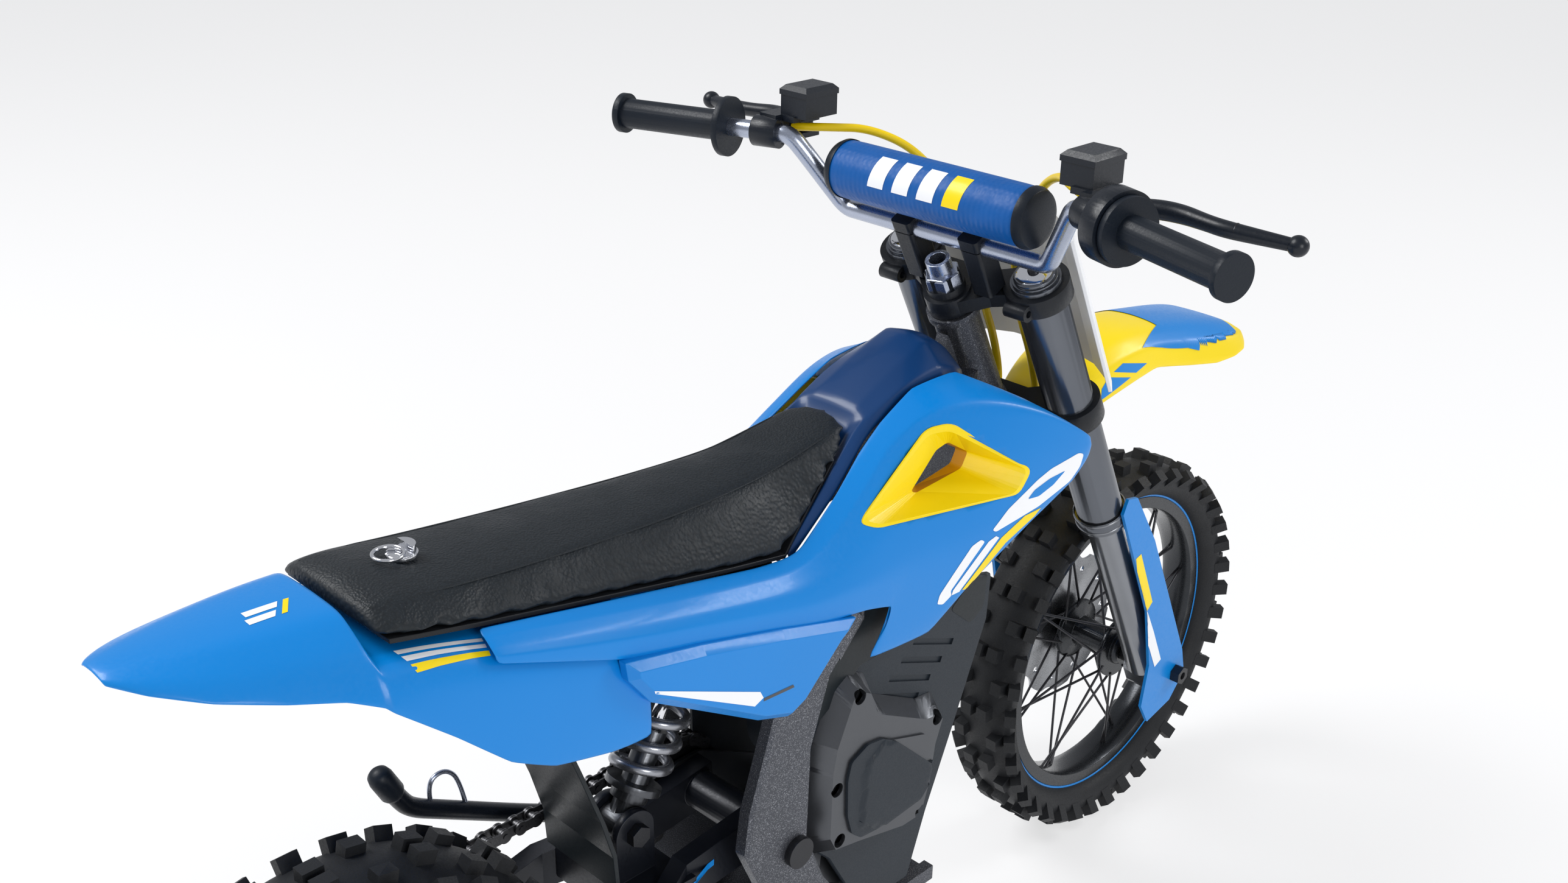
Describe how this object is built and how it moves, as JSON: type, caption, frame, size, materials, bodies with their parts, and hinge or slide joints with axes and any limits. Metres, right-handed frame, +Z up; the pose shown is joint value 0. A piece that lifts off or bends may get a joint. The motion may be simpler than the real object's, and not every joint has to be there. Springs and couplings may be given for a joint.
{
  "type": "scale electric motocross motorcycle",
  "caption": "Radio-controlled scale electric dirt bike with steering fork, sprung swingarm, knobby wheels, levers, lift-off seat and side stand.",
  "frame": {"origin": "centre of the bounding box's footprint, on the ground the tyres stand on", "axes": "+X towards the front wheel, +Y to the rider's left, +Z up"},
  "size_m": [0.55, 0.265, 0.3395],
  "materials": {
    "tyre_rubber": "moulded knobby rubber",
    "rim_black": "satin anodised black",
    "spoke_steel": "blackened wire",
    "disc_steel": "ground steel",
    "chain_steel": "oiled dark steel",
    "fork_grey": "satin dark grey",
    "stanchion_steel": "polished dark steel",
    "cast_black": "fine cast texture, black",
    "frame_gunmetal": "speckled gunmetal",
    "bolt_black": "black oxide",
    "bar_silver": "satin anodised",
    "grip_rubber": "dark slate rubber",
    "pad_blue": "blue coated fabric over foam",
    "lever_black": "satin slate",
    "cable_yellow": "yellow sheath",
    "shell_blue": "satin blue",
    "shell_navy": "gloss dark navy",
    "shell_yellow": "yellow",
    "shell_black": "gloss black",
    "guard_slate": "matte slate",
    "plate_white": "white",
    "motor_graphite": "graphite satin",
    "arm_black": "satin black",
    "spring_graphite": "graphite wire",
    "rod_chrome": "polished",
    "seat_cover": "grained dark slate cover on foam",
    "latch_chrome": "polished",
    "battery_black": "black case"
  },
  "bodies": {
    "chassis": {"main_frame": "frame_gunmetal", "frame_bolts": "bolt_black", "steering_bearings": "disc_steel", "skid_plate": "guard_slate", "footpegs": "bolt_black", "drive_motor": "motor_graphite", "gyro_housing": "guard_slate", "battery_pack": "battery_black", "electronics": "battery_black", "rear_fender": "shell_blue", "tank_cover": "shell_navy", "shrouds": "shell_blue", "vent_inserts": "shell_yellow", "side_covers": "shell_blue", "inner_mudguard": "shell_black", "lower_guards": "guard_slate", "motor_covers": "motor_graphite", "cover_screws": "bolt_black"},
    "flywheel": {"gyro_flywheel": "disc_steel"},
    "front_drive": {"sprocket_front": "bolt_black"},
    "steering_head": {"steering_stem": "cast_black", "top_clamp": "cast_black", "fork_tubes": "fork_grey", "handlebar": "bar_silver", "bar_pad": "pad_blue", "grip_left": "grip_rubber", "rear_brake_master": "lever_black", "front_brake_master": "lever_black", "number_plate": "plate_white", "front_fender": "shell_yellow", "control_cables": "cable_yellow"},
    "throttle": {"throttle_grip": "grip_rubber"},
    "rear_brake_control": {"rear_brake_lever": "lever_black"},
    "front_brake_control": {"front_brake_lever": "lever_black"},
    "fork_lower": {"fork_stanchions": "stanchion_steel", "axle_front": "bolt_black", "fork_guards": "shell_blue", "brake_caliper_front": "cast_black"},
    "front_wheel": {"tyre_front": "tyre_rubber", "rim_front": "rim_black", "spokes_front": "spoke_steel", "hub_front": "rim_black", "brake_disc_front": "disc_steel"},
    "rear_arm": {"swingarm": "arm_black", "swingarm_bolts": "bolt_black", "brake_caliper_rear": "cast_black", "chain": "chain_steel"},
    "rear_wheel": {"tyre_rear": "tyre_rubber", "rim_rear": "rim_black", "spokes_rear": "spoke_steel", "hub_rear": "rim_black", "brake_disc_rear": "disc_steel", "sprocket_rear": "bolt_black"},
    "shock_upper": {"shock_rod": "rod_chrome", "shock_spring": "spring_graphite"},
    "shock_lower": {"shock_body": "motor_graphite"},
    "side_stand": {"kickstand": "arm_black"},
    "seat": {"seat_cushion": "seat_cover", "seat_base": "battery_black"},
    "latch": {"seat_latch": "latch_chrome"}
  },
  "joints": [
    {"name": "steering", "type": "hinge", "parent": "chassis", "child": "steering_head", "pos_m": [0.0677, 0, 0.2813], "axis": [-0.454, 0, 0.891], "range_deg": [-20, 20], "deforming": ["control_cables"]},
    {"name": "fork_slide", "type": "slide", "parent": "steering_head", "child": "fork_lower", "axis": [-0.454, 0, 0.891], "range_m": [0, 0.025], "stiffness_N_per_m": 900, "springref_m": -0.02},
    {"name": "front_wheel_spin", "type": "hinge", "parent": "fork_lower", "child": "front_wheel", "pos_m": [0.189, 0, 0.086], "axis": [0, 1, 0], "continuous": true},
    {"name": "swingarm_pivot", "type": "hinge", "parent": "chassis", "child": "rear_arm", "pos_m": [-0.037, 0, 0.112], "axis": [0, 1, 0], "range_deg": [0, 10], "stiffness_Nm_per_rad": 25, "springref_deg": -8.02},
    {"name": "shock_swing", "type": "hinge", "parent": "chassis", "child": "shock_upper", "pos_m": [-0.05, 0, 0.191], "axis": [0, 1, 0], "range_deg": [-1, 2]},
    {"name": "shock_slide", "type": "slide", "parent": "shock_upper", "child": "shock_lower", "axis": [0.4808, 0, 0.8768], "range_m": [0, 0.0095], "deforming": ["shock_spring"]},
    {"name": "rear_wheel_spin", "type": "hinge", "parent": "rear_arm", "child": "rear_wheel", "pos_m": [-0.191, 0, 0.084], "axis": [0, 1, 0], "continuous": true, "deforming": ["chain"]},
    {"name": "front_sprocket_spin", "type": "hinge", "parent": "chassis", "child": "front_drive", "pos_m": [-0.037, 0, 0.112], "axis": [0, 1, 0], "continuous": true},
    {"name": "flywheel_spin", "type": "hinge", "parent": "chassis", "child": "flywheel", "pos_m": [0.006, 0, 0.131], "axis": [0, 1, 0], "continuous": true},
    {"name": "throttle_twist", "type": "hinge", "parent": "steering_head", "child": "throttle", "pos_m": [0.0535, -0.062, 0.3225], "axis": [-0.2847, -0.9585, -0.0143], "range_deg": [0, 70], "stiffness_Nm_per_rad": 0.02, "springref_deg": -11.46},
    {"name": "rear_brake_pull", "type": "hinge", "parent": "steering_head", "child": "rear_brake_control", "pos_m": [0.0665, 0.068, 0.32275], "axis": [0, 0, 1], "range_deg": [0, 14], "stiffness_Nm_per_rad": 0.05, "springref_deg": -11.46},
    {"name": "front_brake_pull", "type": "hinge", "parent": "steering_head", "child": "front_brake_control", "pos_m": [0.0665, -0.068, 0.32275], "axis": [0, 0, -1], "range_deg": [0, 14], "stiffness_Nm_per_rad": 0.05, "springref_deg": -11.46},
    {"name": "kickstand_fold", "type": "hinge", "parent": "chassis", "child": "side_stand", "pos_m": [-0.06, 0.04, 0.097], "axis": [0, -1, 0], "range_deg": [0, 100]},
    {"name": "seat_lift", "type": "slide", "parent": "chassis", "child": "seat", "axis": [0, 0, 1], "range_m": [0, 0.03]},
    {"name": "seat_latch_turn", "type": "hinge", "parent": "seat", "child": "latch", "pos_m": [-0.1552, 0, 0.255], "axis": [0, 0, 1], "range_deg": [0, 90]}
  ],
  "couplings": [
    {"joint": "shock_swing", "follows": "swingarm_pivot", "ratio": 0.054},
    {"joint": "shock_slide", "follows": "swingarm_pivot", "m_per_rad": 0.0498},
    {"joint": "front_sprocket_spin", "follows": "rear_wheel_spin", "ratio": 3}
  ]
}
